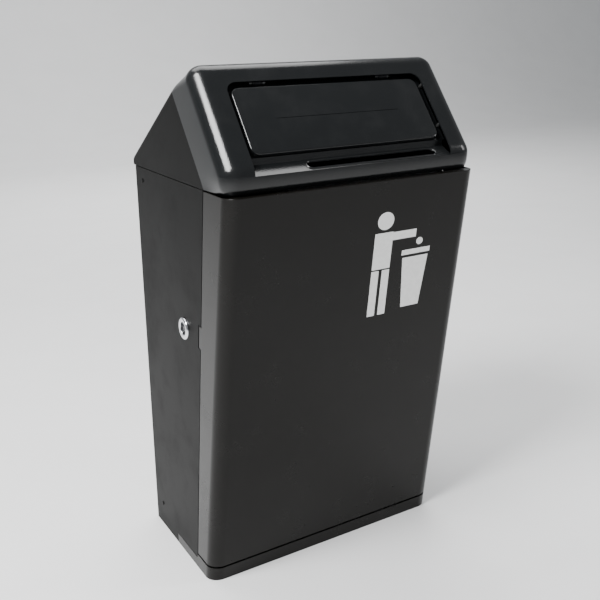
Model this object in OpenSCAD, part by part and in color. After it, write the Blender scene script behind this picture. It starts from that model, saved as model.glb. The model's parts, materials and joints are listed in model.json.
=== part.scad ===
// Wall litter bin with a push flap and an ash ledge, in millimetres.
// X is to the right seen from the front, the front faces -Y, the wall is at +Y, Z is up.

/* [Body] */
// Width over the side panels
body_w = 350; // [300:1:420]
// Depth at the top of the door
top_depth = 312; // [280:1:360]
// Depth at the ground
base_depth = 204; // [170:1:240]
// Height of the joint between body and hood
joint_z = 528; // [440:1:620]
// Thickness of the folded sheet
sheet = 1.5; // [1:0.1:2]
// Outer radius of the door's vertical corners
corner_r = 18; // [12:1:24]
// Outer radius of the folds at the back and round the roof
fold_r = 8; // [5:1:12]
// Length of the door's side return at the ground
return_base = 46; // [36:1:60]
// Length of the door's side return at the top
return_top = 69; // [50:1:85]
// Height of the plinth below the door
plinth_h = 19; // [15:0.5:30]
// Height of the low joint at the sides of the plinth
plinth_side_z = 14; // [10:0.5:15]
// Distance of the plinth's rear end from the wall
plinth_back = 88; // [60:1:110]

/* [Hood] */
// Height of the eave above the body joint
eave_h = 15; // [8:1:25]
// Outer radius of the rolled rim of the hood front
roll_r = 20; // [15:1:24]
// How far the roll stands behind the front of the door
roll_setback = 6; // [3:1:12]
// Slope of the hood front from the horizontal
fascia_slope = 52; // [46:0.5:58]
// Distance between the lower and the upper roll
fascia_len = 127; // [115:1:150]
// Sheet thickness of the hood front
fascia_t = 2; // [1.5:0.1:3]
// Depth of the hood front behind its face
fascia_depth = 65; // [50:1:70]
// Half the width of the opening
window_half = 138; // [110:1:139]
// Upper edge of the opening, along the slope
window_top = 112; // [95:1:112]
// Radius of the opening's upper corners
window_r = 14; // [6:1:20]
// Slope of the stubbing ledge from the horizontal
ledge_slope = 26.5; // [20:0.5:32]
// Depth of the ledge along its slope
ledge_depth = 22; // [20:0.5:28]
// Height of the upstand behind the ledge
upstand_h = 8; // [5:0.5:9]
// Length of the slot in the ledge
slot_len = 186; // [120:1:200]
// Width of the slot in the ledge
slot_w = 14; // [8:0.5:15]
// Sideways place of the slot's middle
slot_x = 25; // [0:1:30]

/* [Flap] */
// Thickness of the flap
flap_t = 1.2; // [1:0.1:2]
// How much the flap overlaps the opening on each side
flap_lap = 5.5; // [4:0.5:6]
// Distance of the flap's face behind the hood front
flap_recess = 11; // [9:0.5:13]
// Radius of the flap rod
rod_r = 3; // [2.5:0.1:3.5]

/* [Door] */
// Gap between the door's edges and the fixed sheet
door_gap = 2; // [1.6:0.1:3]
// Depth of the folded flanges inside the door
flange_w = 14; // [10:1:15]
// Length of one hinge
hinge_l = 60; // [45:1:80]
// Radius of the hinge knuckles
knuckle_r = 3; // [2.5:0.1:3.5]
// Radius of the hinge pins
pin_r = 1.5; // [1.2:0.1:1.8]
// Height of the pictogram
sign_h = 148; // [100:1:170]
// Height of the pictogram's middle
sign_z = 413; // [330:1:430]
// Sideways place of the pictogram's middle
sign_x = 62; // [0:1:100]

/* [Lock] */
// Height of the lock
lock_z = 337; // [250:1:400]
// Distance of the lock from the wall
lock_b = 159; // [150:1:165]
// Radius of the lock's bezel
bezel_r = 14.5; // [13:0.5:18]
// Radius of the threaded barrel
barrel_r = 11; // [9:0.5:12]
// Radius of the spindle's journal
journal_r = 6; // [5:0.1:6.5]
// Distance from the spindle to the strike pin
strike_reach = 62; // [60:1:66]
// Radius of the strike pin
strike_r = 4; // [3:0.1:5]

/* [Inside] */
// Height of the liner
liner_h = 424; // [330:1:440]
// Gap between the liner and the sheet round it
liner_gap = 24; // [22:1:30]
// Thickness of the liner
liner_t = 1; // [0.8:0.1:1.5]
// Radius of the bail wire
bail_r = 3; // [2:0.1:4]
// Length of the ash tray
tray_len = 220; // [205:1:240]
// Thickness of the ash tray
tray_t = 1.2; // [0.8:0.1:1.5]

/* [Wall fixing] */
// Distance between the wall holes from side to side
hole_dx = 200; // [120:1:240]
// Distance between the wall holes from top to bottom
hole_dz = 380; // [250:1:400]
// Height of the wall holes' middle
hole_mid_z = 270; // [240:1:280]
// Radius of the wall holes
hole_r = 4.5; // [3:0.5:6]

/* [Hidden] */
$fn = 64;
half_w = body_w / 2;
back_y = top_depth / 2;
inner_x = half_w - sheet;
fit = 0.1;
run_fit = 0.05;
line_gap = 0.5;

// The leaning planes of the door's front and of the seam at its sides.
front_lean = atan((top_depth - base_depth) / joint_z);
seam_base = base_depth - return_base;
seam_top = top_depth - return_top;
seam_lean = atan((seam_top - seam_base) / joint_z);
function front_y(z) = back_y - base_depth - (top_depth - base_depth) * z / joint_z;
function seam_y(z) = back_y - seam_base - (seam_top - seam_base) * z / joint_z;

// Heights in the body.
body_top = joint_z - line_gap;
hood_bottom = joint_z + line_gap;
door_low = plinth_h + 2.5;
door_top = joint_z - 1;
floor_top = plinth_side_z - 0.4;
floor_low = floor_top - sheet;
skirt_low = joint_z - 28;
skirt_in = sheet + fit;
fold_w = 10;

// The hood's rolls and the roof that is tangent to the upper one.
eave_z = joint_z + eave_h;
roll_y = back_y - top_depth + roll_setback + roll_r;
roll_z = joint_z + roll_r + 1;
top_roll_y = roll_y + fascia_len * cos(fascia_slope);
top_roll_z = roll_z + fascia_len * sin(fascia_slope);
roof_run = norm([back_y - top_roll_y, top_roll_z - eave_z]);
roof_slope = atan((top_roll_z - eave_z) / (back_y - top_roll_y)) + asin(roll_r / roof_run);
roof_len = sqrt(roof_run * roof_run - roll_r * roll_r);
seam_w = roll_r - fascia_depth;
ledge_y = roll_y - roll_r;
ledge_z = roll_z;

// The flap and its rod, in the fascia's frame.
flap_w = roll_r - flap_recess;
flap_low = 14;
flap_half = window_half + flap_lap;
barrel_outer = rod_r + flap_t;
rod_u = window_top + 7;
rod_w = flap_w - barrel_outer;
bracket_x = flap_half + 2.5;
bracket_t = 2;
rod_half = bracket_x + bracket_t + 3;
spring_x = 90;
spring_l = 16;
spring_cut = 11;

// The lock, along X from the outside of the left panel.
lock_y = back_y - lock_b;
bezel_t = 3;
cup_r = 8.5;
cup_depth = 10;
nut_t = 5;
barrel_end = 13;
cam_t = 2.5;
cam_gap = 0.5;
cam_x = -half_w + barrel_end + cam_gap;
lock_tab_z = 343;
tab_h = 30;
tab_reach = 7;

// The liner and its bail.
liner_half = half_w - liner_gap - 1;
liner_low = floor_top;
liner_top = liner_low + liner_h;
liner_back = back_y - 12;
bail_reach = 93;
bail_y = liner_back - liner_t / 2 - bail_reach;
bail_z = liner_top + bail_r + 0.3;
ear_h = bail_z + 9 - liner_top;

hinge_zs = [90, joint_z / 2 + 6, joint_z - 78];
rivet_b = 32;
rivet_zs = [33, joint_z - 18];

black = [0.16, 0.16, 0.16];
steel = [0.75, 0.76, 0.78];
zinc = [0.6, 0.63, 0.65];

// ---- frames ----

// Local z runs up the seam and local y points to the rear.
module seam_frame(x = 0) {
    translate([x, seam_y(0), 0]) rotate([seam_lean, 0, 0]) children();
}

// Local z runs up the front of the door and local y points inwards.
module front_frame() {
    translate([0, front_y(0), 0]) rotate([front_lean, 0, 0]) children();
}

// Local y runs up the hood front and local z points out of it.
module fascia_frame() {
    translate([0, roll_y, roll_z]) rotate([fascia_slope, 0, 0]) children();
}

// Local y runs down the roof to the eave and local z points out of it.
module roof_frame() {
    translate([0, back_y, eave_z]) rotate([-roof_slope, 0, 0]) children();
}

// Local y runs back and up the stubbing ledge, from the rim.
module ledge_frame() {
    translate([0, ledge_y, ledge_z]) rotate([ledge_slope, 0, 0]) children();
}

// A plane cut: everything between two heights.
module between(low, high) {
    translate([-400, -500, low]) cube([800, 1000, high - low]);
}

module behind_seam(gap) {
    seam_frame() translate([-400, gap, -200]) cube([800, 700, 1200]);
}

module before_seam(gap) {
    seam_frame() translate([-400, -700 - gap, -200]) cube([800, 700, 1200]);
}

// Points along an arc of a circle.
function arc(x, y, r, a0, a1, n = 16) =
    [for (i = [0:n]) let (a = a0 + (a1 - a0) * i / n) [x + r * cos(a), y + r * sin(a)]];

// A profile in the Y-Z plane, drawn out along X.
module along_x(x, l) {
    translate([x, 0, 0]) rotate([90, 0, 90]) linear_extrude(l) children();
}

module x_cyl(x, y, z, r, l, fn = 64) {
    translate([x, y, z]) rotate([0, 90, 0]) cylinder(r = r, h = l, $fn = fn);
}

// ---- body ----

// Plan of the sides and the back, with folded rear corners.
module back_plan(inset) {
    w = half_w - inset;
    r = fold_r - inset;
    y = back_y - inset;
    polygon(concat([[-w, -400], [w, -400]], arc(w - r, y - r, r, 0, 90), arc(r - w, y - r, r, 90, 180)));
}

// The leaning block whose skin is the door.
module door_block(inset) {
    w = half_w - inset;
    r = corner_r - inset;
    front_frame() translate([0, 0, -60]) linear_extrude(joint_z + 120)
        polygon(concat(
            [[w, 200], [-w, 200]],
            arc(r - w, corner_r, r, 180, 270),
            arc(w - r, corner_r, r, 270, 360)
        ));
}

module seam_folds() {
    for (s = [-1, 1]) intersection() {
        seam_frame() translate([s > 0 ? inner_x - fold_w : -inner_x - sheet / 2, door_gap / 2, -50])
            cube([fold_w + sheet / 2, sheet, joint_z + 150]);
        between(plinth_h + 1, body_top);
    }
}

module hinge_notches(reach) {
    for (z = hinge_zs) seam_frame(half_w)
        translate([-flange_w - 2, -reach, z - hinge_l / 2 - 1])
            cube([flange_w + 10, 2 * reach, hinge_l + 2]);
}

module body_shell() {
    color(black) difference() {
        intersection() {
            union() {
                difference() {
                    linear_extrude(body_top) back_plan(0);
                    translate([0, 0, -1]) linear_extrude(body_top + 2) back_plan(sheet);
                }
                seam_folds();
            }
            behind_seam(door_gap / 2);
        }
        translate([-400, back_y - plinth_back - 600, -1]) cube([800, 600, plinth_side_z + 1.4]);
        for (x = [-1, 1], z = [-1, 1])
            translate([x * hole_dx / 2, back_y - 10, hole_mid_z + z * hole_dz / 2])
                rotate([-90, 0, 0]) cylinder(r = hole_r, h = 20);
        x_cyl(-half_w - 5, lock_y, lock_z, barrel_r + fit, 15);
        for (s = [-1, 1], z = rivet_zs) x_cyl(s * half_w - 5, back_y - rivet_b, z, 2.1, 10, 32);
        seam_frame(-half_w) translate([-1, -5, lock_tab_z - tab_h / 2 - 1])
            cube([flange_w + 4, 5 + tab_reach + door_gap / 2, tab_h + 2]);
        hinge_notches(knuckle_r + 0.6);
    }
}

// Side view of the part of the base tray that shows: the plinth and its low side walls.
module plinth_side() {
    rear = back_y - plinth_back - line_gap;
    polygon([
        [-300, 0], [rear, 0], [rear, floor_top], [seam_y(floor_top) + 2, floor_top],
        [seam_y(plinth_h), plinth_h], [-300, plinth_h]
    ]);
}

module base_tray() {
    rear = back_y - plinth_back - line_gap;
    color(black) difference() {
        union() {
            difference() {
                intersection() {
                    door_block(0);
                    along_x(-half_w - 1, body_w + 2) plinth_side();
                }
                intersection() {
                    door_block(sheet);
                    between(floor_top, floor_top + 60);
                }
                intersection() {
                    door_block(sheet);
                    between(-60, floor_low);
                }
            }
            translate([fit - inner_x, rear - 3, floor_low])
                cube([2 * (inner_x - fit), back_y - sheet - fold_r - rear + 3, sheet]);
            for (s = [-1, 1])
                translate([s > 0 ? inner_x - skirt_in : fit - inner_x, back_y - 80, floor_low])
                    cube([sheet, 80 - sheet - fold_r, 36]);
        }
        for (s = [-1, 1]) x_cyl(s * inner_x - 5, back_y - rivet_b, rivet_zs[0], 2.1, 10, 32);
    }
}

module front_rail() {
    rail_half = inner_x - skirt_in - 0.4;
    color(black) intersection() {
        seam_frame() union() {
            translate([-rail_half, door_gap / 2 + sheet, 100]) cube([2 * rail_half, sheet, 600]);
        }
        between(skirt_low, joint_z - 1);
    }
    color(black) translate([-rail_half, seam_y(joint_z - 1) + door_gap / 2 + sheet + 0.2, joint_z - 1 - sheet])
        cube([2 * rail_half, 16, sheet]);
}

// ---- hood ----

// Side view of the hood's front: the lower roll, the slope and the upper roll. Its rear is left
// open above the roof, which the roof's own outline cuts.
module hood_side(inset, low) {
    r = roll_r - inset;
    front_a = 90 + fascia_slope;
    roof_a = 92.5 - roof_slope;
    polygon(concat(
        [[roll_y + 2, low]],
        arc(roll_y, roll_z, r, 270, front_a, 24),
        arc(top_roll_y, top_roll_z, r, front_a, roof_a, 16),
        [
            [top_roll_y + 40, top_roll_z + 60],
            [back_y + 60, top_roll_z + 60],
            [back_y + 60, low]
        ]
    ));
}

// The hood as a solid, with the long edges of its roof folded.
module hood_block(inset, low) {
    w = half_w - inset;
    r = fold_r - inset;
    intersection() {
        along_x(-half_w - 1, body_w + 2) hood_side(inset, low);
        roof_frame() translate([0, 60, 0]) rotate([90, 0, 0]) linear_extrude(520)
            polygon(concat(
                [[-w, -500], [w, -500]],
                arc(w - r, -inset - r, r, 0, 90),
                arc(r - w, -inset - r, r, 90, 180)
            ));
    }
}

module behind_fascia(gap) {
    fascia_frame() translate([-400, -500, seam_w - gap - 600]) cube([800, 1000, 600]);
}

// Everything above a height and in front of the wall.
module above(low, back) {
    translate([-400, back - 600, low]) cube([800, 600, 400]);
}

// The ring that steps inwards below the hood and plugs into the body.
module hood_skirt() {
    x = inner_x - fit - sheet;
    y = back_y - 2 * sheet - fit;
    for (s = [-1, 1]) {
        translate([s > 0 ? x : -x - sheet, seam_y(joint_z) + 10, skirt_low])
            cube([sheet, y - fold_r - seam_y(joint_z) - 10, hood_bottom + sheet - skirt_low]);
        translate([s > 0 ? x : -half_w + sheet / 2, seam_y(joint_z) + 10, hood_bottom])
            cube([half_w - sheet / 2 - x, y - fold_r - seam_y(joint_z) - 10, sheet]);
    }
    translate([fold_r * 2 - half_w, y, skirt_low])
        cube([body_w - 4 * fold_r, sheet, hood_bottom + sheet - skirt_low]);
    translate([fold_r * 2 - half_w, y, hood_bottom])
        cube([body_w - 4 * fold_r, back_y - sheet / 2 - y, sheet]);
}

module hood_cover() {
    color(black) difference() {
        union() {
            difference() {
                intersection() {
                    hood_block(0, hood_bottom - 5);
                    above(hood_bottom, back_y);
                    behind_fascia(line_gap / 2);
                }
                intersection() {
                    hood_block(sheet, hood_bottom - 10);
                    above(hood_bottom - 7, back_y - sheet);
                }
            }
            hood_skirt();
        }
        for (s = [-1, 1]) x_cyl(s * inner_x - 5, back_y - rivet_b, rivet_zs[1], 2.1, 10, 32);
    }
}

// The hood front as a solid, with rolled side edges.
module fascia_block(inset, rear, low) {
    r = roll_r - inset;
    intersection() {
        hood_block(inset, low);
        fascia_frame() rotate([90, 0, 0]) translate([0, 0, -300]) linear_extrude(500)
            polygon(concat(
                [[inset - half_w, rear], [half_w - inset, rear]],
                arc(half_w - roll_r, 0, r, 0, 90),
                arc(roll_r - half_w, 0, r, 90, 180)
            ));
    }
}

module window_cut() {
    x = window_half - window_r;
    y = window_top - window_r;
    difference() {
        fascia_frame() translate([0, 0, -8]) linear_extrude(60)
            polygon(concat(
                [[-window_half, -40], [window_half, -40]],
                arc(x, y, window_r, 0, 90),
                arc(-x, y, window_r, 90, 180)
            ));
        ledge_frame() translate([-300, -100, -200]) cube([600, 300, 200]);
    }
}

module hood_fascia() {
    low = roll_z - roll_r;
    color(black) difference() {
        fascia_block(0, seam_w + line_gap / 2, low);
        fascia_block(fascia_t, seam_w - 4, low - 5);
        window_cut();
    }
}

module ash_ledge() {
    color(black) difference() {
        intersection() {
            ledge_frame() union() {
                translate([-window_half + 0.3, 0, -sheet]) cube([2 * window_half - 0.6, ledge_depth, sheet]);
                translate([-window_half + 0.3, ledge_depth - sheet, -sheet])
                    rotate([90 - ledge_slope, 0, 0]) translate([0, 0, -sheet])
                        cube([2 * window_half - 0.6, upstand_h + sheet, sheet]);
            }
            fascia_block(fascia_t, seam_w, roll_z - roll_r);
        }
        ledge_frame() translate([slot_x, ledge_depth / 2 - 1, -10]) linear_extrude(20) {
            square([slot_len - slot_w, slot_w], center = true);
            for (s = [-1, 1]) translate([s * (slot_len - slot_w) / 2, 0]) circle(slot_w / 2);
        }
    }
}

// Profile of the ash tray, from its rear wall round to the lip below the slot.
tray_back = seam_y(joint_z) - door_gap;
tray_front = roll_y + 4;
tray_low = joint_z - 28;
tray_lip_y = roll_y - 12;
tray_lip_z = roll_z - 4;

module tray_space(inset) {
    polygon([
        [tray_back - inset, tray_low + inset], [tray_front + 2 + inset, tray_low + inset],
        [tray_front + inset, roll_z - 17], [tray_lip_y + inset, tray_lip_z + 40 * inset],
        [tray_lip_y + inset, tray_lip_z + 40 * inset], [tray_back - inset, tray_lip_z + 40 * inset]
    ]);
}

module ash_tray() {
    x0 = slot_x - tray_len / 2;
    color(steel) {
        difference() {
            union() {
                intersection() {
                    along_x(x0, tray_len) tray_space(0);
                    between(0, tray_lip_z);
                }
            }
            intersection() {
                along_x(x0 + tray_t, tray_len - 2 * tray_t) tray_space(tray_t);
                between(0, tray_lip_z + 10);
            }
            translate([-400, tray_front + 2.2, joint_z - 0.3]) cube([800, 60, 60]);
        }
        translate([x0, tray_back - tray_t, joint_z - 1]) cube([tray_len, 20, tray_t]);
    }
}

// ---- flap ----

module flap_rod_axis(x, r, l, fn = 48) {
    fascia_frame() translate([x, rod_u, rod_w]) rotate([0, 90, 0]) cylinder(r = r, h = l, $fn = fn);
}

module spring_gaps() {
    for (s = [-1, 1]) fascia_frame()
        translate([s * spring_x - spring_cut, rod_u - 6.6, rod_w - 12]) cube([2 * spring_cut, 40, 30]);
}

module flap() {
    color(black) difference() {
        union() {
            fascia_frame() {
                translate([-flap_half, flap_low, flap_w - flap_t])
                    cube([2 * flap_half, rod_u - flap_low, flap_t]);
                translate([-flap_half, flap_low, flap_w - 8]) cube([2 * flap_half, flap_t, 8]);
            }
            flap_rod_axis(-flap_half, barrel_outer, 2 * flap_half);
        }
        flap_rod_axis(-flap_half - 1, rod_r + 0.02, 2 * flap_half + 2);
        spring_gaps();
    }
}

module flap_rod() {
    color(steel) flap_rod_axis(-rod_half, rod_r, 2 * rod_half);
}

module rod_clips() {
    color(steel) for (s = [-1, 1]) difference() {
        flap_rod_axis(s * (bracket_x + bracket_t + 1) - 0.5, rod_r + 2.5, 1);
        flap_rod_axis(s * (bracket_x + bracket_t + 1) - 1, rod_r + 0.02, 2);
    }
}

module flap_springs() {
    color(steel) for (s = [-1, 1]) {
        difference() {
            flap_rod_axis(s * spring_x - spring_l / 2, rod_r + 2.4, spring_l);
            flap_rod_axis(s * spring_x - spring_l / 2 - 1, rod_r + 0.6, spring_l + 2);
        }
        fascia_frame() translate([s * spring_x - 7, rod_u - 32, flap_w - flap_t - 0.8])
            rotate([-90, 0, 0]) cylinder(r = 0.8, h = 28, $fn = 24);
    }
}

module flap_brackets() {
    color(black) for (s = [-1, 1]) difference() {
        fascia_frame() {
            translate([s > 0 ? bracket_x : -bracket_x - bracket_t, rod_u - 11, rod_w - 8])
                cube([bracket_t, 18, roll_r - fascia_t - rod_w + 8]);
            translate([s > 0 ? bracket_x - 20 : -bracket_x, window_top + 1.5, roll_r - fascia_t - sheet])
                cube([20, rod_u + 7 - window_top - 1.5, sheet]);
        }
        flap_rod_axis(s * (bracket_x + bracket_t / 2) - 5, rod_r + run_fit, 10);
    }
}

module flap_stops() {
    color([0.1, 0.1, 0.1]) for (s = [-1, 1], u = [34, 96]) fascia_frame()
        translate([s * (window_half + flap_lap / 2), u, flap_w + 0.3])
            cylinder(r = 2.2, h = flap_recess - fascia_t - 0.3, $fn = 32);
}

// ---- door ----

module door_skin() {
    color(black) difference() {
        union() {
            intersection() {
                difference() {
                    door_block(0);
                    door_block(sheet);
                }
                between(door_low, door_top);
                union() {
                    before_seam(door_gap / 2);
                    seam_frame(-half_w) translate([0, -10, lock_tab_z - tab_h / 2])
                        cube([sheet, 10 + tab_reach - door_gap / 2, tab_h]);
                }
            }
            for (z = [door_top - sheet, door_low + 8]) difference() {
                intersection() {
                    door_block(sheet / 2);
                    between(z, z + sheet);
                }
                front_frame() translate([-400, flange_w, -100]) cube([800, 500, 1000]);
            }
            intersection() {
                seam_frame() translate([-inner_x - sheet / 2, -door_gap / 2 - sheet, -50])
                    cube([fold_w + sheet / 2, sheet, 900]);
                between(door_low + 8, door_top);
            }
        }
        hinge_notches(knuckle_r + 0.6);
    }
}

module door_stiffener() {
    color(zinc) for (z = [210]) {
        intersection() {
            front_frame() translate([-130, sheet, z]) difference() {
                cube([260, 12, 40]);
                translate([-1, -0.1, sheet]) cube([262, 12 - sheet + 0.1, 40 - 2 * sheet]);
            }
            between(0, joint_z);
        }
    }
}

// Hinges lie along the right seam; the middle knuckle belongs to the door.
knuckle_l = (hinge_l - 0.6) / 3;
leaf_w = 26;
leaf_t = 1.5;

module knuckle(z) {
    translate([0, 0, z]) cylinder(r = knuckle_r, h = knuckle_l, $fn = 48);
}

module hinge_at() {
    for (z = hinge_zs) seam_frame(half_w) translate([0, 0, z - hinge_l / 2]) children();
}

module leaf_bolt_holes(side, r, l, x) {
    for (z = [hinge_l * 0.22, hinge_l * 0.78])
        translate([x, side * 16, z]) rotate([0, 90, 0]) cylinder(r = r, h = l, $fn = 32);
}

module hinge_body_leaves() {
    color(steel) hinge_at() difference() {
        union() {
            for (k = [0, 2]) {
                knuckle(k * (knuckle_l + 0.3));
                translate([-sheet - leaf_t, 0, k * (knuckle_l + 0.3)])
                    cube([leaf_t, knuckle_r + 1, knuckle_l]);
            }
            translate([-sheet - leaf_t, knuckle_r + 0.6, 0]) cube([leaf_t, leaf_w, hinge_l]);
        }
        translate([0, 0, -1]) cylinder(r = pin_r + run_fit, h = hinge_l + 2, $fn = 48);
        leaf_bolt_holes(1, 2.1, 6, -6);
    }
}

module hinge_door_leaves() {
    color(steel) hinge_at() difference() {
        union() {
            knuckle(knuckle_l + 0.3);
            translate([-sheet - leaf_t, -knuckle_r - 1, knuckle_l + 0.3])
                cube([leaf_t, knuckle_r + 1, knuckle_l]);
            translate([-sheet - leaf_t, -knuckle_r - 0.6 - leaf_w, 0]) cube([leaf_t, leaf_w, hinge_l]);
        }
        translate([0, 0, -1]) cylinder(r = pin_r + run_fit, h = hinge_l + 2, $fn = 48);
        leaf_bolt_holes(-1, 2.1, 6, -6);
    }
}

module leaf_nuts(side) {
    color(zinc) hinge_at() {
        leaf_bolt_holes(side, 2, 7, -sheet - 7);
        leaf_bolt_holes(side, 3.6, 3, -sheet - leaf_t - 3);
    }
}

module hinge_body_nuts() {
    leaf_nuts(1);
}

module hinge_door_nuts() {
    leaf_nuts(-1);
}

module hinge_pins() {
    color(steel) hinge_at() {
        translate([0, 0, -1]) cylinder(r = pin_r, h = hinge_l + 1, $fn = 48);
        translate([0, 0, hinge_l]) cylinder(r = pin_r + 1, h = 1, $fn = 48);
    }
}

module door_buffers() {
    color([0.1, 0.1, 0.1]) for (z = [120, 450]) seam_frame()
        translate([5 - inner_x, door_gap / 2, z]) rotate([90, 0, 0])
            cylinder(r = 4, h = door_gap - 0.3, $fn = 32);
}

// ---- lock ----

module lock_axis(x, r, l, fn = 64) {
    x_cyl(x, lock_y, lock_z, r, l, fn);
}

module lock_housing() {
    color(steel) difference() {
        union() {
            lock_axis(-half_w - bezel_t, bezel_r - 1, 1);
            lock_axis(-half_w - bezel_t + 0.8, bezel_r, bezel_t - 0.8);
            lock_axis(-half_w - 0.1, barrel_r, barrel_end + 0.1);
        }
        lock_axis(-half_w - bezel_t - 1, cup_r, cup_depth + 1);
        lock_axis(-half_w - 1, journal_r, barrel_end + 5);
    }
}

module lock_nut() {
    color(zinc) difference() {
        lock_axis(-inner_x, 16, nut_t, 6);
        lock_axis(-inner_x - 1, barrel_r + 0.02, nut_t + 2);
    }
}

module lock_spindle() {
    color(steel) {
        lock_axis(-half_w - bezel_t + cup_depth - 1.8, cup_r - 0.5, 1.5);
        lock_axis(-half_w - bezel_t + 2, 5.2, cup_depth, 3);
        lock_axis(-half_w, journal_r - run_fit, barrel_end + cam_gap);
    }
}

// The cam hangs down when unlocked; turned by a quarter its hook closes round the strike pin.
module lock_cam() {
    inner_track = strike_reach - strike_r - 1;
    outer_track = strike_reach + strike_r + 1;
    color(zinc) translate([cam_x, lock_y, lock_z]) rotate([90, 0, 90]) difference() {
        linear_extrude(cam_t) difference() {
            union() {
                circle(10);
                translate([-9, -strike_reach - 10]) square([18, strike_reach + 10]);
                circle_sector(outer_track + 4, -98, -76);
            }
            difference() {
                circle_sector(outer_track, -120, -84);
                circle(inner_track);
            }
        }
        translate([0, 0, -1]) cylinder(r = 2.6, h = cam_t + 2, $fn = 32);
    }
}

// A sector of a disc between two angles.
module circle_sector(r, a0, a1) {
    intersection() {
        circle(r, $fn = 96);
        polygon([
            [0, 0], [2 * r * cos(a0), 2 * r * sin(a0)], [2 * r * cos(a1), 2 * r * sin(a1)]
        ]);
    }
}

module cam_screw() {
    color(steel) {
        lock_axis(cam_x, 2.5, cam_t + 0.5, 32);
        lock_axis(cam_x + cam_t, 4.5, 2.8, 6);
    }
}

strike_y = lock_y - strike_reach;

module strike_bracket() {
    color(zinc) difference() {
        intersection() {
            x_cyl(-inner_x, strike_y, lock_z, 14, 2);
            before_seam(door_gap / 2 + sheet + 0.2);
        }
        x_cyl(-inner_x - 1, strike_y, lock_z, 2.5, 4, 32);
    }
}

module strike_pin() {
    color(steel) {
        x_cyl(-inner_x, strike_y, lock_z, 2.48, 2.5, 32);
        x_cyl(-inner_x + 2, strike_y, lock_z, strike_r, 16, 48);
        x_cyl(-inner_x + 18, strike_y, lock_z, strike_r + 1.5, 1.5, 48);
    }
}

// ---- small parts ----

module side_rivets() {
    color(zinc) for (s = [-1, 1], z = rivet_zs) {
        x = s > 0 ? half_w - 5 : -half_w;
        x_cyl(x, back_y - rivet_b, z, 2, 5, 32);
        x_cyl(s > 0 ? half_w : -half_w - 0.8, back_y - rivet_b, z, 2.8, 0.8, 32);
        x_cyl(s > 0 ? half_w - 5 : -half_w + 3.8, back_y - rivet_b, z, 2.8, 1.2, 32);
    }
}

// A person dropping litter into a bin, cut from thin film.
module sign_plan() {
    u = sign_h / 148;
    scale([u, u]) {
        translate([-22, 62]) circle(12);
        translate([-36, -4]) square([27, 50]);
        translate([-36, -70]) square([11, 64]);
        translate([-20, -70]) square([11, 64]);
        translate([-9, 34]) square([36, 11]);
        polygon([[16, -66], [44, -66], [50, 6], [10, 6]]);
        translate([8, 10]) square([44, 7]);
        translate([34, 27]) circle(5);
    }
}

module pictogram() {
    color("white") front_frame() translate([sign_x, 0, sign_z / cos(front_lean)])
        rotate([90, 0, 0]) linear_extrude(0.3) sign_plan();
}

// ---- liner ----

module liner_side(inset) {
    slope = (top_depth - base_depth) / joint_z;
    front = function(z) front_y(z) + liner_gap;
    polygon([
        [liner_back - inset, liner_low + inset],
        [front(liner_low) + inset, liner_low + inset],
        [front(liner_top + 20) + inset, liner_top + 20],
        [liner_back - inset, liner_top + 20]
    ]);
}

module liner() {
    color(zinc) difference() {
        union() {
            intersection() {
                along_x(-liner_half, 2 * liner_half) liner_side(0);
                between(0, liner_top);
            }
            intersection() {
                along_x(-liner_half - 2, 2 * liner_half + 4) liner_side(-2);
                between(liner_top - 12, liner_top);
            }
            for (s = [-1, 1]) translate([s > 0 ? liner_half - liner_t : -liner_half, bail_y - 12, liner_top - 25])
                cube([liner_t, 24, 25 + ear_h]);
        }
        along_x(liner_t - liner_half, 2 * (liner_half - liner_t)) liner_side(liner_t);
        for (s = [-1, 1]) x_cyl(s * liner_half - 5, bail_y, bail_z, bail_r + 0.08, 10, 48);
    }
}

module liner_bail() {
    arm_x = liner_half - liner_t - bail_r - 1.5;
    color(steel) {
        for (s = [-1, 1]) {
            x_cyl(s > 0 ? arm_x : -liner_half - 4, bail_y, bail_z, bail_r, liner_half + 4 - arm_x, 48);
            translate([s * arm_x, bail_y, bail_z]) sphere(bail_r, $fn = 48);
            translate([s * arm_x, bail_y, bail_z]) rotate([-90, 0, 0])
                cylinder(r = bail_r, h = bail_reach, $fn = 48);
            translate([s * arm_x, bail_y + bail_reach, bail_z]) sphere(bail_r, $fn = 48);
        }
        x_cyl(-arm_x, bail_y + bail_reach, bail_z, bail_r, 2 * arm_x, 48);
    }
}

body_shell();
base_tray();
front_rail();
hood_cover();
hood_fascia();
ash_ledge();
ash_tray();
flap_brackets();
flap_stops();
lock_housing();
lock_nut();
side_rivets();
door_buffers();
hinge_body_leaves();
hinge_body_nuts();
hinge_pins();
liner();
door_skin();
door_stiffener();
hinge_door_leaves();
hinge_door_nuts();
strike_bracket();
strike_pin();
pictogram();
flap();
flap_rod();
rod_clips();
flap_springs();
lock_spindle();
lock_cam();
cam_screw();
liner_bail();
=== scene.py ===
"""Wall litter bin with a push flap and an ash ledge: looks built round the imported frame, in metres."""

import json
import math

import bmesh
import bpy
import numpy as np
from mathutils import Matrix, Vector


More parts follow.
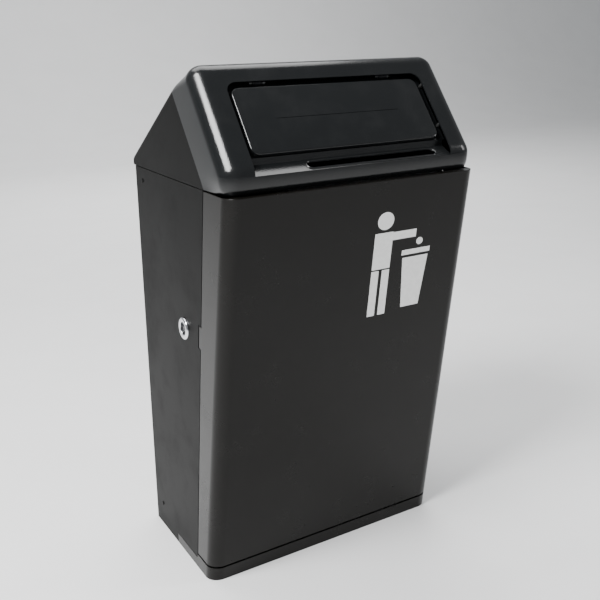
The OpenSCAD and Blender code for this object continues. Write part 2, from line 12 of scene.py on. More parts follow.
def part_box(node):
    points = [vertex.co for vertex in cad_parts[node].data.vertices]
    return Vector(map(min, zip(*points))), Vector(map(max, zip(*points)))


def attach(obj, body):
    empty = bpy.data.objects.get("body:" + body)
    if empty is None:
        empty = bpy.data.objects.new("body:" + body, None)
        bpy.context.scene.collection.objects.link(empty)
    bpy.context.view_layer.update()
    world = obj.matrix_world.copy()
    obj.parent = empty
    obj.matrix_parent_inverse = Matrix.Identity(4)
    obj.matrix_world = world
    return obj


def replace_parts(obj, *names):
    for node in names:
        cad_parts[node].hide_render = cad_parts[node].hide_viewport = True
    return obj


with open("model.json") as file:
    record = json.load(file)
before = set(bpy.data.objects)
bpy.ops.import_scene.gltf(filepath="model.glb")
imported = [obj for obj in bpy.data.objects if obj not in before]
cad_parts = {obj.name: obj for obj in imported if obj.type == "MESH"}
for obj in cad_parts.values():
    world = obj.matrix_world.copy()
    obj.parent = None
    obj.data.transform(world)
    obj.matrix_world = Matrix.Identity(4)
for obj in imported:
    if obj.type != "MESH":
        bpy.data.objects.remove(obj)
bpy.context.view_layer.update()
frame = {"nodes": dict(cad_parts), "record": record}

# ---- body ----
# The back and both sides are folded from one steel sheet, with wall holes in the back and a lock
# hole and a notch in the left side. It is powder coated black.
CREASE = math.radians(28)
FLAT = math.radians(0.1)
SHEET_EDGE = 0.0005


class Wire:
    """A socket whose operators add Math nodes."""

    def __init__(self, tree, socket):
        self.tree = tree
        self.socket = socket

    def node(self, kind, settings=None, **inputs):
        """Adds a node, sets its settings, then its sockets; returns its first output. A socket
        is named by its words joined with underscores, or by an underscore and its number."""
        made = self.tree.nodes.new(kind)
        for key, value in (settings or {}).items():
            setattr(made, key, value)
        for key, value in inputs.items():
            socket = made.inputs[int(key[1:])] if key[0] == "_" else made.inputs[key.replace("_", " ")]
            if isinstance(value, Wire):
                self.tree.links.new(value.socket, socket)
            else:
                socket.default_value = value
        return Wire(self.tree, made.outputs[0])

    def maths(self, operation, a, b):
        return self.node("ShaderNodeMath", {"operation": operation}, _0=a, _1=b)

    def __add__(self, other):
        return self.maths("ADD", self, other)

    __radd__ = __add__

    def __mul__(self, other):
        return self.maths("MULTIPLY", self, other)

    __rmul__ = __mul__

    def step(self, low, high):
        """0 below low, 1 above high, smooth between."""
        return self.node(
            "ShaderNodeMapRange", {"interpolation_type": "SMOOTHSTEP"},
            _0=self, _1=low, _2=high, _3=0.0, _4=1.0,
        )

    def mix(self, colour_a, colour_b):
        """A colour between two, by this socket."""
        made = self.tree.nodes.new("ShaderNodeMix")
        made.data_type = "RGBA"
        self.tree.links.new(self.socket, made.inputs[0])
        made.inputs[6].default_value = (*colour_a, 1.0)
        made.inputs[7].default_value = (*colour_b, 1.0)
        return Wire(self.tree, made.outputs[2])


def finish(name, **constants):
    """A material with a Principled shader; returns it, the shader and the Object coordinates."""
    material = bpy.data.materials.new(name)
    material.use_nodes = True
    shader = material.node_tree.nodes["Principled BSDF"]
    for key, value in constants.items():
        shader.inputs[key.replace("_", " ")].default_value = value
    coordinates = material.node_tree.nodes.new("ShaderNodeTexCoord")
    return material, shader, Wire(material.node_tree, coordinates.outputs["Object"])


def feed(shader, key, wire):
    """Links a wire to one of the shader's sockets."""
    wire.tree.links.new(wire.socket, shader.inputs[key])


def noise(place, scale, detail=2.0, roughness=0.5):
    """Noise of so many cells a metre."""
    return place.node("ShaderNodeTexNoise", None, Vector=place, Scale=scale, Detail=detail, Roughness=roughness)


def bump(height, strength, distance):
    """A normal from a height, with its full height in metres."""
    return height.node("ShaderNodeBump", None, Height=height, Strength=strength, Distance=distance)


def powder_coat(name, colour, dust, rough, peel, gloss):
    """Black powder coat: fine orange peel, slow waves from the sheet, and a breath of dust."""
    material, shader, place = finish(name, Specular_IOR_Level=gloss)
    cells = noise(place, 520.0, 1.5, 0.45)
    waves = noise(place, 9.0, 2.0, 0.5)
    haze = noise(place, 26.0, 6.0, 0.62).step(0.42, 0.78)
    specks = noise(place, 1400.0, 2.0, 0.6).step(0.66, 0.74)
    feed(shader, "Base Color", (haze * 0.30 + specks * 0.25).mix(colour, dust))
    feed(shader, "Roughness", rough + waves * 0.06 + haze * 0.07 + specks * 0.12)
    feed(shader, "Normal", bump(cells + waves * 2.0, 0.28 * peel, 0.00035))
    return material


def link(name, mesh):
    """A new object of a mesh, in the scene and at the origin."""
    piece = bpy.data.objects.new(name, mesh)
    bpy.context.scene.collection.objects.link(piece)
    return piece


def soften(piece, edge, segments=2):
    """Rounds a piece's sharp edges and weighs its normals by the area of its faces."""
    round_off = piece.modifiers.new("edge", "BEVEL")
    round_off.width = edge
    round_off.segments = segments
    round_off.limit_method = "ANGLE"
    round_off.angle_limit = CREASE
    round_off.use_clamp_overlap = True
    weigh = piece.modifiers.new("weigh", "WEIGHTED_NORMAL")
    weigh.keep_sharp = True


def settle(piece):
    """Applies a piece's modifiers to its mesh."""
    graph = bpy.context.evaluated_depsgraph_get()
    mesh = bpy.data.meshes.new_from_object(piece.evaluated_get(graph))
    piece.modifiers.clear()
    piece.data = mesh


def shade(mesh):
    """Smooth shading with sharp edges where the faces meet at more than the crease."""
    mesh.shade_smooth()
    mesh.set_sharp_from_angle(angle=CREASE)


def dressed(node, name, material, edge=SHEET_EDGE):
    """A merged copy of a CAD node with flat faces joined, edges rounded and a new finish."""
    form = bmesh.new()
    form.from_mesh(frame["nodes"][node].data)
    bmesh.ops.remove_doubles(form, verts=form.verts, dist=1e-6)
    bmesh.ops.dissolve_limit(
        form, angle_limit=FLAT, verts=form.verts, edges=form.edges, use_dissolve_boundaries=False,
    )
    mesh = bpy.data.meshes.new(name)
    form.to_mesh(mesh)
    form.free()
    shade(mesh)
    mesh.materials.append(material)
    piece = link(name, mesh)
    if edge:
        soften(piece, edge)
        settle(piece)
    bodies = frame["record"]["behaviour"]["bodies"]
    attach(piece, next(body for body, nodes in bodies.items() if node in nodes))
    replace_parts(piece, node)
    return piece


def finish_nodes(material, *nodes):
    """Gives CAD nodes, whose shape is right as it is, their finish."""
    for node in nodes:
        data = frame["nodes"][node].data
        data.materials.clear()
        data.materials.append(material)


side_coat = powder_coat(
    "side_coat", (0.0052, 0.0052, 0.0050), (0.0090, 0.0090, 0.0088), 0.38, 0.7, 0.04,
)
dressed("body_shell", "body_shell_sheet", side_coat)
finish_nodes(side_coat, "side_rivets")

# ---- base tray and front rail ----
# A folded tray closes the bottom, and its plinth shows below the door; the rail ties the sides at
# the top of the door. Both are steel sheet, coated with the same paint as the door.
black_coat = powder_coat(
    "black_coat", (0.0042, 0.0038, 0.0032), (0.0085, 0.0080, 0.0072), 0.20, 0.5, 0.16,
)
for node in ("base_tray", "front_rail"):
    dressed(node, node + "_sheet", black_coat)

# ---- hood cover ----
# Gables and roof of one folded sheet, with a skirt inside the body that the rivets hold. Its
# edges butt against the hood front, so they stay as they are cut.
dressed("hood_cover", "hood_cover_sheet", side_coat, 0)

# ---- hood front ----
# One pressing of 2 mm steel: a rolled lip, a sloping face with the opening, a rolled ridge and
# the start of the roof, with ball corners. Its side edges roll down to flat cheeks, and its lip
# curls under in front.
ROLL = 0.020
FACE_SLOPE = math.radians(52)
FACE_LENGTH = 0.127
ROOF_EDGE = 0.008
CHEEK_DEPTH = 0.04475
PRESSING = 0.002
PRESSING_EDGE = 0.0007
SKIRT_HEIGHT = 0.028
EAVE_HEIGHT = 0.015
LIP_CURL = math.radians(62)
LIP_INWARDS = 0.42
ROLL_STEPS = 12
FACE_STEPS = 13
low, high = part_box("hood_fascia")
cover_low, cover_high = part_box("hood_cover")
half_width = high.x
roll_low = np.array([low.y + ROLL, low.z + ROLL])
along = np.array([math.cos(FACE_SLOPE), math.sin(FACE_SLOPE)])
outward = np.array([-along[1], along[0]])
roll_high = roll_low + FACE_LENGTH * along
eave = np.array([cover_high.y, cover_low.z + SKIRT_HEIGHT + EAVE_HEIGHT])
roof_fall = roll_high[1] - eave[1]
roof_run = eave[0] - roll_high[0]
roof_slope = math.atan2(roof_fall, roof_run) + math.asin(ROLL / math.hypot(roof_run, roof_fall))
roof_down = np.array([math.cos(roof_slope), -math.sin(roof_slope)])
roof_out = np.array([math.sin(roof_slope), math.cos(roof_slope)])
roof_start = roll_high + ROLL * roof_out
roof_reach = (CHEEK_DEPTH + (roof_start - roll_low) @ outward) / -(roof_down @ outward)


def soft_arc(centre, radius, start, end, count):
    """Points on a circle: centre plus radius times cosine and sine of angles in degrees."""
    a = np.radians(np.linspace(start, end, count))
    return np.stack([centre[0] + radius * np.cos(a), centre[1] + radius * np.sin(a)], 1)


def seam_y(height):
    """Where the seam between pressing and cover lies at a height: a line that leans as the face
    does, at the cheek's depth behind the lower roll's middle."""
    return (
        roll_low[0] + CHEEK_DEPTH / math.sin(FACE_SLOPE)
        + (height - roll_low[1]) / math.tan(FACE_SLOPE)
    )


def hood_line():
    """Outer side line of the pressing with its normals and its side radius, from the lip's most
    forward point over the lower roll, the face and the upper roll to the roof's cut edge. The
    side radius eases from the roll's to the roof edge's along the roof."""
    lip = soft_arc((0, 0), 1, 180, 90 + math.degrees(FACE_SLOPE), 9)
    crown = soft_arc((0, 0), 1, 90 + math.degrees(FACE_SLOPE), 90 - math.degrees(roof_slope), 17)
    steps = np.linspace(0, 1, 30)[1:-1, None]
    face = roll_low + ROLL * outward + steps * FACE_LENGTH * along
    slide = np.linspace(0, 1, 14)[1:, None]
    roof = roof_start + slide * roof_reach * roof_down
    line = np.vstack([roll_low + ROLL * lip, face, roll_high + ROLL * crown, roof])
    normals = np.vstack([lip, np.repeat([outward], len(face), 0), crown, np.repeat([roof_out], len(roof), 0)])
    ease = slide[:, 0] ** 2 * (3 - 2 * slide[:, 0])
    radius = np.concatenate([np.full(len(line) - len(roof), ROLL), ROLL + (ROOF_EDGE - ROLL) * ease])
    return line, normals, radius


def hood_skin():
    """The side line swept across: at each end it turns through a quarter circle of the side
    radius about the line drawn in by that radius. Returns the skin and the drawn-in line."""
    line, normals, radius = hood_line()
    quarter = np.radians(np.linspace(-90, 90, 2 * ROLL_STEPS + 1))
    turn = np.concatenate([quarter[:ROLL_STEPS], np.zeros(FACE_STEPS), quarter[ROLL_STEPS + 1:]])
    side = np.ones(ROLL_STEPS)
    shift = np.concatenate([-side, np.linspace(-1, 1, FACE_STEPS), side])
    r = radius[:, None]
    inner = line - r * normals
    x = shift * (half_width - r) + r * np.sin(turn)
    y = inner[:, :1] + r * np.cos(turn) * normals[:, :1]
    z = inner[:, 1:] + r * np.cos(turn) * normals[:, 1:]
    return np.stack([x, y, z], 2), inner


def cheek(inner, side):
    """A flat cheek at one side: straight lines from the drawn-in line back to the seam."""
    cut_low = np.array([seam_y(roll_low[1]), roll_low[1]])
    cut_high = roof_start + roof_reach * roof_down - ROOF_EDGE * roof_out
    share = (inner - roll_low) @ along
    share = np.clip((share - share.min()) / (share[-1] - share.min()), 0, 1)[:, None]
    cut = cut_low + share * (cut_high - cut_low)
    fill = np.linspace(0, 1, 6)[:, None, None]
    points = inner[None] + fill * (cut - inner)[None]
    return np.concatenate([np.full((*points.shape[:2], 1), side * half_width), points], 2)


def lip_band():
    """The band below the lip: its outline in plan, drawn in by one minus the cosine of the curl
    and lowered by its sine. The drawing in fades to nothing along the sides, to the seam."""
    cut_y = seam_y(roll_low[1])
    run = np.linspace(cut_y, roll_low[0], 9)[1:-1]
    front = np.linspace(ROLL - half_width, half_width - ROLL, FACE_STEPS)[1:-1]
    plan = np.vstack([
        [[-half_width, cut_y]],
        np.stack([np.full(len(run), -half_width), run], 1),
        soft_arc((ROLL - half_width, roll_low[0]), ROLL, 180, 270, ROLL_STEPS + 1),
        np.stack([front, np.full(len(front), roll_low[0] - ROLL)], 1),
        soft_arc((half_width - ROLL, roll_low[0]), ROLL, 270, 360, ROLL_STEPS + 1),
        np.stack([np.full(len(run), half_width), run[::-1]], 1),
        [[half_width, cut_y]],
    ])
    middle_x = np.clip(plan[:, 0], ROLL - half_width, half_width - ROLL)
    out = plan - np.stack([middle_x, np.maximum(plan[:, 1], roll_low[0])], 1)
    out /= np.maximum(np.linalg.norm(out, axis=1, keepdims=True), 1e-9)
    fade = np.clip((cut_y - plan[:, 1]) / (cut_y - roll_low[0]), 0, 1) ** 1.5
    curl = LIP_CURL * np.linspace(0, 1, 9)[:, None]
    inwards = ROLL * LIP_INWARDS * (1 - np.cos(curl)) * fade
    height = roll_low[1] - ROLL * np.sin(curl) / math.sin(LIP_CURL)
    points = plan[None] - inwards[:, :, None] * out[None]
    z = np.repeat(height, len(plan), 1)
    side = np.clip((plan[:, 1] - roll_low[0]) / (cut_y - roll_low[0]), 0, None)
    points[:, :, 1] += side * (seam_y(z) - cut_y)
    return np.concatenate([points, z[:, :, None]], 2)


def surface(name, *grids):
    """A mesh of quads over arrays of points, each with two grid directions: a point with the
    next in its row and the two above them."""
    points, faces, first = [], [], 0
    for grid in grids:
        rows, columns = grid.shape[:2]
        a = np.arange((rows - 1) * columns).reshape(rows - 1, columns)[:, :-1].ravel()
        points.append(grid.reshape(-1, 3))
        faces.append(first + np.stack([a, a + 1, a + columns + 1, a + columns], 1))
        first += rows * columns
    mesh = bpy.data.meshes.new(name)
    mesh.from_pydata(np.concatenate(points).tolist(), [], np.concatenate(faces).tolist())
    return mesh


def join_up(mesh, gap, sliver, hub=None):
    """Merges a mesh's doubles, drops its slivers and turns its faces outwards. An open sheet is
    turned by its largest face, which has to look away from a hub inside it."""
    form = bmesh.new()
    form.from_mesh(mesh)
    bmesh.ops.remove_doubles(form, verts=form.verts, dist=gap)
    bmesh.ops.dissolve_degenerate(form, dist=sliver, edges=form.edges)
    bmesh.ops.recalc_face_normals(form, faces=form.faces)
    if hub:
        face = max(form.faces, key=lambda f: f.calc_area())
        if face.normal.dot(face.calc_center_median() - hub) < 0:
            bmesh.ops.reverse_faces(form, faces=form.faces)
    form.to_mesh(mesh)
    form.free()


# The opening: straight sides, round upper corners, and the ledge's plane as its lower edge.
OPENING_HALF = 0.138
OPENING_TOP = 0.112
OPENING_CORNER = 0.014
LEDGE_SLOPE = math.radians(26.5)
lip_edge = np.array([low.y, roll_low[1]])


def opening_cutter():
    """A block with the opening's outline through the face, cut off below along the ledge."""
    corner_x = OPENING_HALF - OPENING_CORNER
    corner_u = OPENING_TOP - OPENING_CORNER
    outline = np.vstack([
        [[-OPENING_HALF, -2 * ROLL], [OPENING_HALF, -2 * ROLL]],
        soft_arc((corner_x, corner_u), OPENING_CORNER, 0, 90, 13),
        soft_arc((-corner_x, corner_u), OPENING_CORNER, 90, 180, 13),
    ])
    count = len(outline)
    rings = [
        np.column_stack([outline[:, 0], roll_low + outline[:, 1:] * along + w * outward])
        for w in (-0.4 * ROLL, 3 * ROLL)
    ]
    a = np.arange(count)
    b = (a + 1) % count
    walls = np.stack([a, b, b + count, a + count], 1).tolist()
    ends = [a[::-1].tolist(), (a + count).tolist()]
    mesh = bpy.data.meshes.new("cutter")
    mesh.from_pydata(np.concatenate(rings).tolist(), [], walls + ends)
    form = bmesh.new()
    form.from_mesh(mesh)
    cut = bmesh.ops.bisect_plane(
        form, geom=form.verts[:] + form.edges[:] + form.faces[:], plane_co=(0, *lip_edge),
        plane_no=(0, -math.sin(LEDGE_SLOPE), math.cos(LEDGE_SLOPE)), clear_inner=True,
    )
    rim = [g for g in cut["geom_cut"] if isinstance(g, bmesh.types.BMEdge)]
    bmesh.ops.contextual_create(form, geom=rim)
    bmesh.ops.recalc_face_normals(form, faces=form.faces)
    form.to_mesh(mesh)
    form.free()
    return link("cutter", mesh)


skin, drawn_in = hood_skin()
pressing = surface("hood_front", skin, lip_band(), cheek(drawn_in, -1), cheek(drawn_in, 1))
join_up(pressing, 2e-5, 1e-5, Vector((0, roll_low[0] + 0.05, roll_low[1])))
hood_front = link("hood_front", pressing)
wall = hood_front.modifiers.new("wall", "SOLIDIFY")
wall.thickness = PRESSING
wall.offset = -1
wall.use_even_offset = True
settle(hood_front)
cutter = opening_cutter()
hole = hood_front.modifiers.new("hole", "BOOLEAN")
hole.object = cutter
hole.solver = "EXACT"
settle(hood_front)
bpy.data.objects.remove(cutter)
shade(hood_front.data)
soften(hood_front, PRESSING_EDGE, 3)
settle(hood_front)
hood_coat = powder_coat(
    "hood_coat", (0.0050, 0.0056, 0.0060), (0.012, 0.0125, 0.013), 0.15, 1.0, 0.40,
)
hood_front.data.materials.clear()
hood_front.data.materials.append(hood_coat)
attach(hood_front, "body")
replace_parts(hood_front, "hood_fascia")

# ---- stubbing ledge ----
# A folded strip below the flap, coated with the hood front. Cigarette ends drop through its long
# slot, whose edge is a rolled bead that stands proud.
LEDGE_DEPTH = 0.022
LEDGE_EDGE = 0.0006
SLOT_LENGTH, SLOT_WIDTH, SLOT_MIDDLE = 0.186, 0.014, 0.025
SLOT_FORWARD = 0.001
BEAD = 0.0012


def slot_bead():
    """A round bead carried along the slot's edge: the route is two half circles, and each ring
    adds the bead's radius times cosine sideways and sine up from the ledge."""
    reach_x = (SLOT_LENGTH - SLOT_WIDTH) / 2
    radius = SLOT_WIDTH / 2
    route = np.vstack([
        soft_arc((reach_x, 0), radius, -90, 90, 17), soft_arc((-reach_x, 0), radius, 90, 270, 17),
    ])
    ahead = np.roll(route, -1, 0) - np.roll(route, 1, 0)
    ahead /= np.linalg.norm(ahead, axis=1, keepdims=True)
    side = np.stack([ahead[:, 1], -ahead[:, 0]], 1)
    a = np.linspace(0, 2 * np.pi, 13)
    plan = route[:, None] + BEAD * np.cos(a)[None, :, None] * side[:, None]
    rise = np.broadcast_to(BEAD * np.sin(a), plan.shape[:2]) + BEAD * 0.2
    up = plan[:, :, 1] + LEDGE_DEPTH / 2 - SLOT_FORWARD
    y = lip_edge[0] + up * math.cos(LEDGE_SLOPE) - rise * math.sin(LEDGE_SLOPE)
    z = lip_edge[1] + up * math.sin(LEDGE_SLOPE) + rise * math.cos(LEDGE_SLOPE)
    points = np.stack([plan[:, :, 0] + SLOT_MIDDLE, y, z], 2)
    return np.concatenate([points, points[:1]])


def made(name, points, material, body, slot):
    """A small piece from one grid of points, with its finish and body; the slot is not used."""
    mesh = surface(name, points)
    join_up(mesh, 1e-6, 1e-7)
    shade(mesh)
    mesh.materials.append(material)
    piece = link(name, mesh)
    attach(piece, body)
    return piece


dressed("ash_ledge", "ash_ledge_sheet", hood_coat, LEDGE_EDGE)
made("slot_bead", slot_bead(), hood_coat, "body", "black_paint")

# ---- ash tray and liner ----
# Folded boxes of galvanised sheet: the tray hangs below the ledge's slot, and the liner stands in
# the body. Dull and bright spangle shows on both.
ZINC_EDGE = 0.0003


def galvanised():
    """Hot dipped zinc: grey spangle cells with dull and bright flakes."""
    material, shader, place = finish("zinc", Metallic=1.0)
    flakes = place.node("ShaderNodeTexVoronoi", None, Vector=place, Scale=85.0)
    tone = Wire(place.tree, flakes.socket.node.outputs["Color"])
    grey = tone.node("ShaderNodeRGBToBW", None, Color=tone)
    clouds = noise(place, 40.0, 4.0, 0.6)
    feed(shader, "Base Color", (grey * 0.6 + clouds * 0.4).mix((0.33, 0.35, 0.37), (0.62, 0.64, 0.66)))
    feed(shader, "Roughness", 0.34 + grey * 0.18 + clouds * 0.08)
    feed(shader, "Normal", bump(clouds, 0.15, 0.0004))
    return material


zinc = galvanised()
for node in ("ash_tray", "liner"):
    dressed(node, node + "_zinc", zinc, ZINC_EDGE)

# ---- push flap ----
# Coated sheet rolled round its rod at the top, with a panel pressed forward out of it so that it
# nearly fills the opening.
PANEL_HALF, PANEL_LOW, PANEL_HIGH = 0.1335, 0.0135, 0.1080
PANEL_CORNER, PANEL_FOOT, PANEL_FACE = 0.012, 0.0088, 0.0163
PANEL_EDGE, PANEL_DRAFT = 0.0022, 0.0012
PANEL_CLOSE = 0.0003


def flap_panel():
    """Rings of a rounded rectangle that climb the panel's wall and close on its face: each ring
    is the outline drawn in by d and raised to w; the wall turns into the face on a radius."""
    bend = np.radians(np.linspace(0, 90, 7))
    middle_u = (PANEL_LOW + PANEL_HIGH) / 2
    half_u = (PANEL_HIGH - PANEL_LOW) / 2
    draw = PANEL_DRAFT + PANEL_EDGE * (1 - np.cos(bend))
    lift = PANEL_FACE - PANEL_EDGE + PANEL_EDGE * np.sin(bend)
    draw = np.concatenate([[0], draw, [half_u - PANEL_CLOSE]])
    lift = np.concatenate([[PANEL_FOOT], lift, [PANEL_FACE]])
    rings = []
    for d, w in zip(draw, lift):
        corner = max(PANEL_CORNER - d, PANEL_CLOSE * 2 / 3)
        x0, u0 = PANEL_HALF - d - corner, half_u - d - corner
        ring = np.vstack([
            soft_arc((x0, u0), corner, 0, 90, 9), soft_arc((-x0, u0), corner, 90, 180, 9),
            soft_arc((-x0, -u0), corner, 180, 270, 9), soft_arc((x0, -u0), corner, 270, 360, 9),
        ])
        ring = np.vstack([ring, ring[:1]])
        place = roll_low + (middle_u + ring[:, 1:]) * along + w * outward
        rings.append(np.column_stack([ring[:, 0], place]))
    return np.array(rings)


dressed("flap", "flap_sheet", hood_coat)
made("flap_panel", flap_panel(), hood_coat, "flap", "black_paint")

# ---- flap rod and springs ----
# A plated rod turns in two coated brackets and is held by clips. Two torsion springs of 1.6 mm
# oiled wire are coiled round it, each with one leg on the back of the flap; rubber stops the flap.
SPRING_WIRE = 0.0008
SPRING_COIL = 0.0046
SPRING_TURNS = 7.25
SPRING_LENGTH = 0.0145
SPRING_PLACE = 0.090
SPRING_LEG = 0.026
SPRING_TIP = 0.01
rod_low, rod_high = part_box("flap_rod")
rod_y, rod_z = (rod_low.y + rod_high.y) / 2, (rod_low.z + rod_high.z) / 2


def spring(side):
    """A wire round a helix about the rod that ends in a straight leg down the flap: each ring
    adds the wire's radius times cosine and sine of two directions square to the route."""
    t = np.linspace(0, 1, 180)
    a = FACE_SLOPE - math.pi / 2 + t * SPRING_TURNS * 2 * np.pi
    coil = np.stack([
        side * SPRING_PLACE + (t - 0.5) * SPRING_LENGTH,
        rod_y + SPRING_COIL * np.cos(a),
        rod_z + SPRING_COIL * np.sin(a),
    ], 1)
    leg = coil[:1] - np.linspace(1, 0.02, 8)[:, None] * SPRING_LEG * np.array([0, *along])
    route = np.vstack([leg, coil])
    ahead = np.gradient(route, axis=0)
    ahead /= np.linalg.norm(ahead, axis=1, keepdims=True)
    across = np.cross(ahead, [1.0, 0.2, 0.1])
    across /= np.linalg.norm(across, axis=1, keepdims=True)
    up = np.cross(ahead, across)
    b = np.linspace(0, 2 * np.pi, 9)
    ring = np.cos(b)[None, :, None] * across[:, None] + np.sin(b)[None, :, None] * up[:, None]
    radius = np.full(len(route), SPRING_WIRE)
    radius[[0, -1]] *= SPRING_TIP
    return route[:, None] + radius[:, None, None] * ring


def brushed(name, dark, bright, rough):
    """Plated or drawn steel: fine lines along Z and slight stains."""
    material, shader, place = finish(name, Metallic=1.0)
    stretched = place.node("ShaderNodeMapping", None, Vector=place, Scale=(1500.0, 1500.0, 60.0))
    lines = noise(stretched, 1.0, 2.0, 0.6)
    stains = noise(place, 90.0, 4.0, 0.6).step(0.4, 0.8)
    feed(shader, "Base Color", (lines * 0.5 + stains * 0.4).mix(bright, dark))
    feed(shader, "Roughness", rough + lines * 0.10 + stains * 0.12)
    feed(shader, "Normal", bump(lines, 0.08, 0.0001))
    return material


def plain(name, colour, second, rough, grain):
    """Rubber, film and paper: a grain in colour, roughness and relief."""
    material, shader, place = finish(name)
    grains = noise(place, grain, 4.0, 0.6)
    feed(shader, "Base Color", grains.step(0.35, 0.7).mix(colour, second))
    feed(shader, "Roughness", rough + grains * 0.12)
    feed(shader, "Normal", bump(grains, 0.12, 0.0002))
    return material


steel = brushed("steel", (0.36, 0.36, 0.36), (0.62, 0.62, 0.63), 0.24)
dark_steel = brushed("dark_steel", (0.05, 0.05, 0.05), (0.14, 0.14, 0.15), 0.34)
rubber = plain("rubber", (0.012, 0.012, 0.012), (0.022, 0.022, 0.022), 0.55, 700.0)
finish_nodes(steel, "flap_rod", "rod_clips")
finish_nodes(black_coat, "flap_brackets")
finish_nodes(rubber, "flap_stops")
for name, side in (("spring_left", -1), ("spring_right", 1)):
    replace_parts(made(name, spring(side), dark_steel, "flap", "dark_steel"), "flap_springs")

# ---- door ----
# A coated pan of folded sheet with returned edges, a galvanised stiffener behind it, a strike
# for the lock's hook, and rubber buffers where it shuts on the body.
dressed("door_skin", "door_skin_sheet", black_coat)
dressed("door_stiffener", "door_stiffener_zinc", zinc, ZINC_EDGE)
finish_nodes(zinc, "strike_bracket")
finish_nodes(steel, "strike_pin")
finish_nodes(rubber, "door_buffers")

# ---- pictogram ----
# A person and a bin cut from white vinyl film and stuck on the door.
film = plain("white_film", (0.78, 0.78, 0.77), (0.72, 0.72, 0.71), 0.38, 160.0)
finish_nodes(film, "pictogram")

# ---- hinges ----
# Three plated pin hinges along the right seam, whose leaves are held by galvanised nuts.
finish_nodes(steel, "hinge_body_leaves", "hinge_door_leaves", "hinge_pins")
finish_nodes(zinc, "hinge_body_nuts", "hinge_door_nuts")

# ---- lock ----
# A chromed cam lock in the left side: a domed bezel turned with its barrel round a cup, and a
# three-sided oiled spindle that turns a galvanised hook cam behind a nut.
CUP_RADIUS, CUP_DEPTH, CUP_LIP = 0.0085, 0.0100, 0.0008
BEZEL_DOME, BEZEL_BACK = 0.0024, 0.0030
BARREL_RADIUS, BARREL_BORE, BARREL_END = 0.0110, 0.0060, 0.0165
housing_low, housing_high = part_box("lock_housing")
lock_middle = (housing_low + housing_high) / 2
bezel_radius = (housing_high.y - housing_low.y) / 2


def turned(profile, centre, count=64):
    """A profile of depth and radius pairs turned round the X axis: the depth goes along X, and
    the radius times cosine and sine goes along Y and Z."""
    a = np.linspace(0, 2 * np.pi, count + 1)
    x = np.repeat(profile[:, :1], count + 1, 1)
    return np.stack([
        centre[0] + x, centre[1] + profile[:, 1:] * np.cos(a), centre[2] + profile[:, 1:] * np.sin(a),
    ], 2)


bezel_profile = np.vstack([
    [[BARREL_END, BARREL_BORE], [CUP_DEPTH, BARREL_BORE], [CUP_DEPTH, CUP_RADIUS]],
    [[1.5 * CUP_LIP, CUP_RADIUS]],
    soft_arc((1.5 * CUP_LIP, CUP_RADIUS + CUP_LIP), CUP_LIP, 270, 180, 7),
    soft_arc((BEZEL_DOME, bezel_radius - BEZEL_DOME), BEZEL_DOME, 180, 90, 9),
    [[BEZEL_BACK, bezel_radius], [BEZEL_BACK, BARREL_RADIUS], [BARREL_END, BARREL_RADIUS]],
    [[BARREL_END, BARREL_BORE]],
])
bezel_profile[:, 0] = np.minimum(bezel_profile[:, 0], housing_high.x - housing_low.x)
bezel_points = turned(bezel_profile, (housing_low.x, lock_middle.y, lock_middle.z))
chrome = brushed("chrome", (0.52, 0.53, 0.55), (0.80, 0.81, 0.83), 0.06)
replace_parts(made("lock_bezel", bezel_points, chrome, "body", "chrome"), "lock_housing")
finish_nodes(dark_steel, "lock_spindle")
finish_nodes(zinc, "lock_cam", "lock_nut")
finish_nodes(steel, "cam_screw")

# ---- bail ----
# The liner's handle, bent from plated wire, with its ends through the liner's ears.
finish_nodes(steel, "liner_bail")

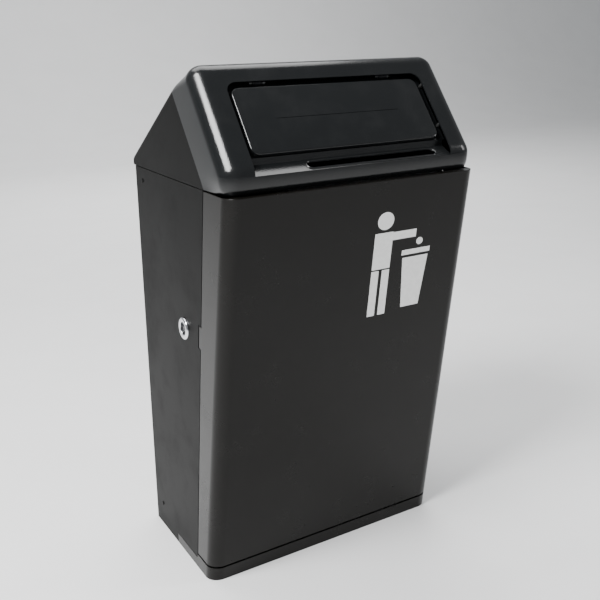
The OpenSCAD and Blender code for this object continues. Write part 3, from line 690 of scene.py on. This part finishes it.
# ---- paper ----
# A pale sheet of paper that sweeps up behind the bin: flat, a quarter circle, then upright.
SWEEP_RADIUS, SWEEP_START, SWEEP_TOP, PAPER_FRONT, PAPER_HALF = 1.6, 3.5, 6.0, -6.0, 8.0
sweep = np.vstack([
    [[PAPER_FRONT, 0]],
    soft_arc((SWEEP_START, SWEEP_RADIUS), SWEEP_RADIUS, 270, 360, 24),
    [[SWEEP_START + SWEEP_RADIUS, SWEEP_TOP]],
])
paper_points = np.stack([
    np.column_stack([np.full(len(sweep), x), sweep]) for x in (-PAPER_HALF, PAPER_HALF)
])
paper = link("paper", surface("paper", paper_points))
paper.data.shade_smooth()
paper.data.materials.append(plain("paper_white", (0.86, 0.86, 0.86), (0.84, 0.84, 0.84), 0.7, 5.0))

# ---- softboxes ----
# A square one high at the left draws the bright line down the rolled edge, a broad one lies above,
# one lights the paper behind, and a weak one stands at the right. The room is a dim grey.


def softbox(name, place, aim, size, watts):
    """A rectangular area lamp at a place, turned to its aim."""
    lamp = bpy.data.lights.new(name, "AREA")
    lamp.shape = "RECTANGLE"
    lamp.size, lamp.size_y = size
    lamp.energy = watts
    holder = link(name, lamp)
    holder.location = place
    holder.rotation_euler = (Vector(place) - Vector(aim)).to_track_quat("Z", "Y").to_euler()


softbox("tall_left", (-1.15, -0.42, 1.75), (-0.16, -0.1, 0.6), (0.75, 0.75), 75)
softbox("broad_top", (0.1, 1.1, 2.7), (0, 0.5, 0.0), (2.6, 1.8), 80)
softbox("low_back", (0.9, 2.4, 1.8), (1.2, 3.4, 0.6), (2.4, 1.0), 45)
softbox("weak_right", (1.9, -1.2, 1.3), (0.1, 0, 0.55), (0.4, 1.0), 16)

world = bpy.data.worlds.new("studio")
world.use_nodes = True
world.node_tree.nodes["Background"].inputs["Color"].default_value = (0.9, 0.93, 0.96, 1)
world.node_tree.nodes["Background"].inputs["Strength"].default_value = 0.34
bpy.context.scene.world = world

# ---- camera ----
# A long lens low at the left front, with the frame shifted so that the bin stands a little right.
AIM = Vector((0.196, 0.1298, 0.4368))
AZIMUTH, ELEVATION, TILT = (math.radians(a) for a in (-33.03, 11.33, -0.74))
DISTANCE = 1.414
back = Vector((
    math.sin(AZIMUTH) * math.cos(ELEVATION),
    -math.cos(AZIMUTH) * math.cos(ELEVATION),
    math.sin(ELEVATION),
))
camera = link("camera", bpy.data.cameras.new("camera"))
camera.location = AIM + back * DISTANCE
camera.rotation_mode = "QUATERNION"
camera.rotation_quaternion = back.to_track_quat("Z", "Y") @ Matrix.Rotation(TILT, 3, "Z").to_quaternion()
camera.data.lens = 53.13
camera.data.shift_x = -0.1177
camera.data.shift_y = -0.1658
bpy.context.scene.camera = camera
